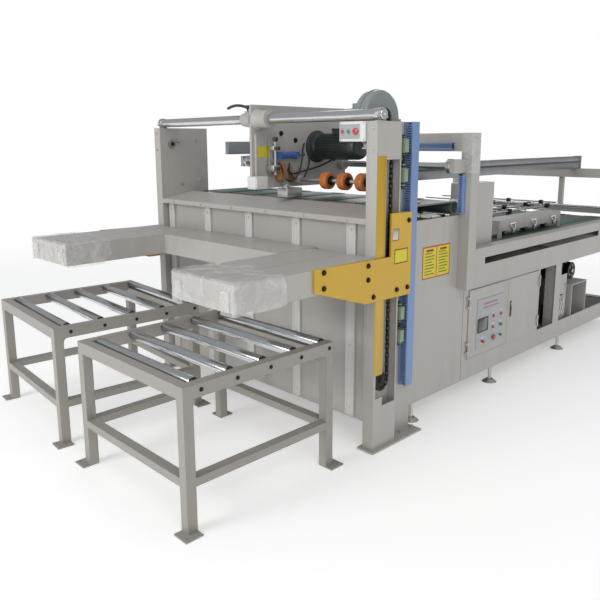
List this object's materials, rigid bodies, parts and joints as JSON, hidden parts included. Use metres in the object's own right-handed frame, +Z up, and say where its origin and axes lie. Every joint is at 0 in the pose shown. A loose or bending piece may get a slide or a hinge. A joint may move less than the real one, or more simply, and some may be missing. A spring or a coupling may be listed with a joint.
{
  "type": "carton sealer machine",
  "caption": "Semi-automatic carton sealer: pile lift between two posts, sliding feed head, belt bed with gantry, control cabinet and roller tables at the infeed.",
  "frame": {"origin": "on the floor, below the front outer corner of the near lift post", "axes": "+X downstream along the machine, +Y across to the far side, +Z up"},
  "size_m": [4.942, 2.2593, 1.92],
  "materials": {
    "machine_paint": "satin warm off-white enamel",
    "table_paint": "satin grey enamel",
    "yellow_paint": "gloss yellow enamel",
    "dark_motor": "dark green-black enamel",
    "blower_grey": "satin blue-grey enamel",
    "chrome": "polished hard chrome",
    "steel": "machined steel",
    "dark_steel": "oiled black steel",
    "belt_green": "matt green belt cover",
    "orange_rubber": "moulded orange polyurethane",
    "duct_blue": "matt blue PVC",
    "valve_green": "satin pale green",
    "white_box": "matt white",
    "red_plastic": "gloss red",
    "green_plastic": "gloss green",
    "black_plastic": "matt black",
    "aluminium": "drawn aluminium"
  },
  "bodies": {
    "root": {"base_frame": "machine_paint", "levelling_feet": "steel", "lift_posts": "machine_paint", "side_plates": "machine_paint", "front_shelf": "machine_paint", "front_panel": "machine_paint", "pile_guides": "aluminium", "side_panels": "machine_paint", "gate_frame": "machine_paint", "slider_beds": "steel", "fold_gantry": "machine_paint", "cross_shafts": "chrome", "bearings": "steel", "lift_chains": "dark_steel", "conveyor_belts": "belt_green", "bed_covers": "machine_paint", "drive_motor": "dark_motor", "blower_housing": "blower_grey", "blower_motor": "blower_grey", "pendant_box": "white_box", "valve_bodies": "valve_green", "wire_ducts": "duct_blue", "fasteners": "dark_steel", "table_frames": "table_paint"},
    "lift": {"lift_plates": "yellow_paint", "lift_arms": "machine_paint", "platform_deck": "machine_paint"},
    "lift_shaft": {"lift_shaft": "dark_steel"},
    "lift_idlers": {"lift_idlers": "dark_steel"},
    "head": {"feed_head": "machine_paint", "head_motor": "dark_motor", "head_fittings": "steel"},
    "lever": {"clamp_lever": "black_plastic"},
    "feed_wheels": {"feed_wheels": "orange_rubber"},
    "feed_drum": {"feed_drum": "steel"},
    "bed_drum": {"bed_drum": "steel"},
    "drive_pulley": {"drive_pulley": "dark_steel"},
    "impeller": {"blower_impeller": "aluminium"},
    "door_left": {"cabinet_door_left": "machine_paint"},
    "door_right": {"cabinet_door_right": "machine_paint"},
    "press_wheel_1": {"press_wheel_1": "black_plastic"},
    "press_wheel_2": {"press_wheel_2": "black_plastic"},
    "press_wheel_3": {"press_wheel_3": "black_plastic"},
    "button_down": {"button_down": "green_plastic"},
    "button_up": {"button_up": "green_plastic"},
    "button_stop": {"button_stop": "red_plastic"},
    "emergency_stop": {"emergency_stop": "red_plastic"},
    "pendant_red": {"pendant_red": "red_plastic"},
    "pendant_green": {"pendant_green": "green_plastic"},
    "pendant_stop": {"pendant_stop": "red_plastic"},
    "roller_a1": {"roller_a1": "chrome"},
    "roller_a2": {"roller_a2": "chrome"},
    "roller_a3": {"roller_a3": "chrome"},
    "roller_a4": {"roller_a4": "chrome"},
    "roller_a5": {"roller_a5": "chrome"},
    "roller_b1": {"roller_b1": "chrome"},
    "roller_b2": {"roller_b2": "chrome"},
    "roller_b3": {"roller_b3": "chrome"},
    "roller_b4": {"roller_b4": "chrome"},
    "roller_b5": {"roller_b5": "chrome"}
  },
  "joints": [
    {"name": "lift_travel", "type": "slide", "parent": "root", "child": "lift", "axis": [0, 0, 1], "range_m": [-0.19, 0.15]},
    {"name": "lift_shaft_turn", "type": "hinge", "parent": "root", "child": "lift_shaft", "pos_m": [0.09, 1.005, 0.385], "axis": [0, 1, 0], "range_deg": [-180, 240]},
    {"name": "lift_idler_turn", "type": "hinge", "parent": "root", "child": "lift_idlers", "pos_m": [0.09, 1.005, 1.64], "axis": [0, 1, 0], "range_deg": [-180, 240]},
    {"name": "head_slide", "type": "slide", "parent": "root", "child": "head", "axis": [0, 1, 0], "range_m": [-0.2, 0.6]},
    {"name": "lever_turn", "type": "hinge", "parent": "head", "child": "lever", "pos_m": [0.057, 1.052, 1.83], "axis": [0, 0, 1], "range_deg": [-60, 60]},
    {"name": "feed_wheel_spin", "type": "hinge", "parent": "head", "child": "feed_wheels", "pos_m": [0.35, 0.5, 1.42], "axis": [0, 1, 0], "continuous": true},
    {"name": "bed_drum_spin", "type": "hinge", "parent": "root", "child": "bed_drum", "pos_m": [3.64, 1.005, 0.9187], "axis": [0, 1, 0], "continuous": true},
    {"name": "feed_drum_spin", "type": "hinge", "parent": "root", "child": "feed_drum", "pos_m": [0.31, 1.005, 1.262], "axis": [0, 1, 0], "continuous": true},
    {"name": "drive_pulley_spin", "type": "hinge", "parent": "root", "child": "drive_pulley", "pos_m": [2.74, 0.17, 0.6], "axis": [0, 1, 0], "continuous": true},
    {"name": "impeller_spin", "type": "hinge", "parent": "root", "child": "impeller", "pos_m": [0.258, 0.22, 1.77], "axis": [0, 1, 0], "continuous": true},
    {"name": "press_wheel_1_spin", "type": "hinge", "parent": "root", "child": "press_wheel_1", "pos_m": [1.93, 0.35, 0.9825], "axis": [0, 1, 0], "continuous": true},
    {"name": "press_wheel_2_spin", "type": "hinge", "parent": "root", "child": "press_wheel_2", "pos_m": [2.26, 0.35, 0.9825], "axis": [0, 1, 0], "continuous": true},
    {"name": "press_wheel_3_spin", "type": "hinge", "parent": "root", "child": "press_wheel_3", "pos_m": [2.59, 0.35, 0.9825], "axis": [0, 1, 0], "continuous": true},
    {"name": "roller_a1_spin", "type": "hinge", "parent": "root", "child": "roller_a1", "pos_m": [-1.059, 0.5255, 0.653], "axis": [0, 1, 0], "continuous": true},
    {"name": "roller_a2_spin", "type": "hinge", "parent": "root", "child": "roller_a2", "pos_m": [-0.863, 0.5255, 0.653], "axis": [0, 1, 0], "continuous": true},
    {"name": "roller_a3_spin", "type": "hinge", "parent": "root", "child": "roller_a3", "pos_m": [-0.667, 0.5255, 0.653], "axis": [0, 1, 0], "continuous": true},
    {"name": "roller_a4_spin", "type": "hinge", "parent": "root", "child": "roller_a4", "pos_m": [-0.471, 0.5255, 0.653], "axis": [0, 1, 0], "continuous": true},
    {"name": "roller_a5_spin", "type": "hinge", "parent": "root", "child": "roller_a5", "pos_m": [-0.275, 0.5255, 0.653], "axis": [0, 1, 0], "continuous": true},
    {"name": "roller_b1_spin", "type": "hinge", "parent": "root", "child": "roller_b1", "pos_m": [-1.0213, 1.72744, 0.653], "axis": [0.0732, 0.9973, 0], "continuous": true},
    {"name": "roller_b2_spin", "type": "hinge", "parent": "root", "child": "roller_b2", "pos_m": [-0.82583, 1.71309, 0.653], "axis": [0.0732, 0.9973, 0], "continuous": true},
    {"name": "roller_b3_spin", "type": "hinge", "parent": "root", "child": "roller_b3", "pos_m": [-0.63036, 1.69874, 0.653], "axis": [0.0732, 0.9973, 0], "continuous": true},
    {"name": "roller_b4_spin", "type": "hinge", "parent": "root", "child": "roller_b4", "pos_m": [-0.43488, 1.68438, 0.653], "axis": [0.0732, 0.9973, 0], "continuous": true},
    {"name": "roller_b5_spin", "type": "hinge", "parent": "root", "child": "roller_b5", "pos_m": [-0.23941, 1.67003, 0.653], "axis": [0.0732, 0.9973, 0], "continuous": true},
    {"name": "door_left_swing", "type": "hinge", "parent": "root", "child": "door_left", "pos_m": [1.027, 0.058, 0.49], "axis": [0, 0, 1], "range_deg": [-110, 0]},
    {"name": "door_right_swing", "type": "hinge", "parent": "root", "child": "door_right", "pos_m": [1.985, 0.058, 0.49], "axis": [0, 0, 1], "range_deg": [0, 110]},
    {"name": "button_down_press", "type": "slide", "parent": "door_left", "child": "button_down", "axis": [0, 1, 0], "range_m": [0, 0.004], "stiffness_N_per_m": 400, "springref_m": -0.002},
    {"name": "button_up_press", "type": "slide", "parent": "door_left", "child": "button_up", "axis": [0, 1, 0], "range_m": [0, 0.004], "stiffness_N_per_m": 400, "springref_m": -0.002},
    {"name": "button_stop_press", "type": "slide", "parent": "door_left", "child": "button_stop", "axis": [0, 1, 0], "range_m": [0, 0.004], "stiffness_N_per_m": 400, "springref_m": -0.002},
    {"name": "emergency_stop_press", "type": "slide", "parent": "door_left", "child": "emergency_stop", "axis": [0, 1, 0], "range_m": [0, 0.004], "stiffness_N_per_m": 400, "springref_m": -0.002},
    {"name": "pendant_red_press", "type": "slide", "parent": "root", "child": "pendant_red", "axis": [1, 0, 0], "range_m": [0, 0.004], "stiffness_N_per_m": 400, "springref_m": -0.002},
    {"name": "pendant_green_press", "type": "slide", "parent": "root", "child": "pendant_green", "axis": [1, 0, 0], "range_m": [0, 0.004], "stiffness_N_per_m": 400, "springref_m": -0.002},
    {"name": "pendant_stop_press", "type": "slide", "parent": "root", "child": "pendant_stop", "axis": [1, 0, 0], "range_m": [0, 0.004], "stiffness_N_per_m": 400, "springref_m": -0.002}
  ],
  "couplings": [
    {"joint": "lift_shaft_turn", "follows": "lift_travel", "rad_per_m": -19.231},
    {"joint": "lift_idler_turn", "follows": "lift_travel", "rad_per_m": -19.231},
    {"joint": "feed_drum_spin", "follows": "bed_drum_spin", "ratio": 1},
    {"joint": "drive_pulley_spin", "follows": "bed_drum_spin", "ratio": 1}
  ]
}
